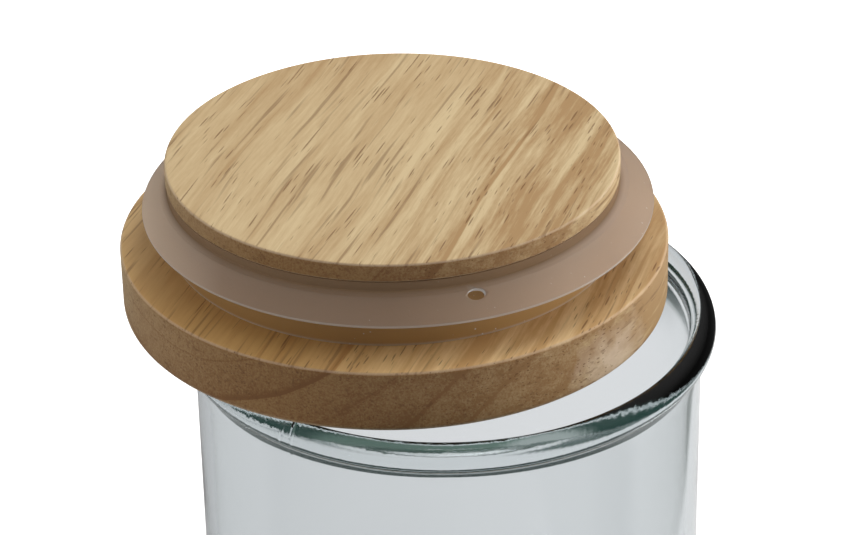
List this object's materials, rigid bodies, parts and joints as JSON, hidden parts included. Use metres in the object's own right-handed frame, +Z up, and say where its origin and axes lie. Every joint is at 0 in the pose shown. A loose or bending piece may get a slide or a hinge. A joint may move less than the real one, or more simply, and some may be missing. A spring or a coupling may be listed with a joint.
{
  "type": "storage jar",
  "caption": "Cylindrical clear glass storage jar with a thick rounded rim; a turned wooden plug lid with a flared silicone seal lies upside down on the mouth.",
  "frame": {"origin": "centre of the flat ring that the jar stands on", "axes": "+Z up along the jar's axis, +X to the right and +Y away from the viewer as in the picture"},
  "size_m": [0.1174, 0.1146, 0.1805],
  "materials": {
    "jar_glass": "clear moulded glass with a faint green tint, fire-polished rim",
    "lid_wood": "light rubberwood-like hardwood, turned, sanded and left matt",
    "seal_silicone": "frosted translucent silicone, moulded"
  },
  "bodies": {
    "jar": {"glass_jar": "jar_glass"},
    "lid": {"wooden_lid": "lid_wood", "seal_ring": "seal_silicone"}
  },
  "joints": [
    {"name": "lid_lift", "type": "slide", "parent": "jar", "child": "lid", "axis": [0, 0, 1], "range_m": [0, 0.12]}
  ]
}
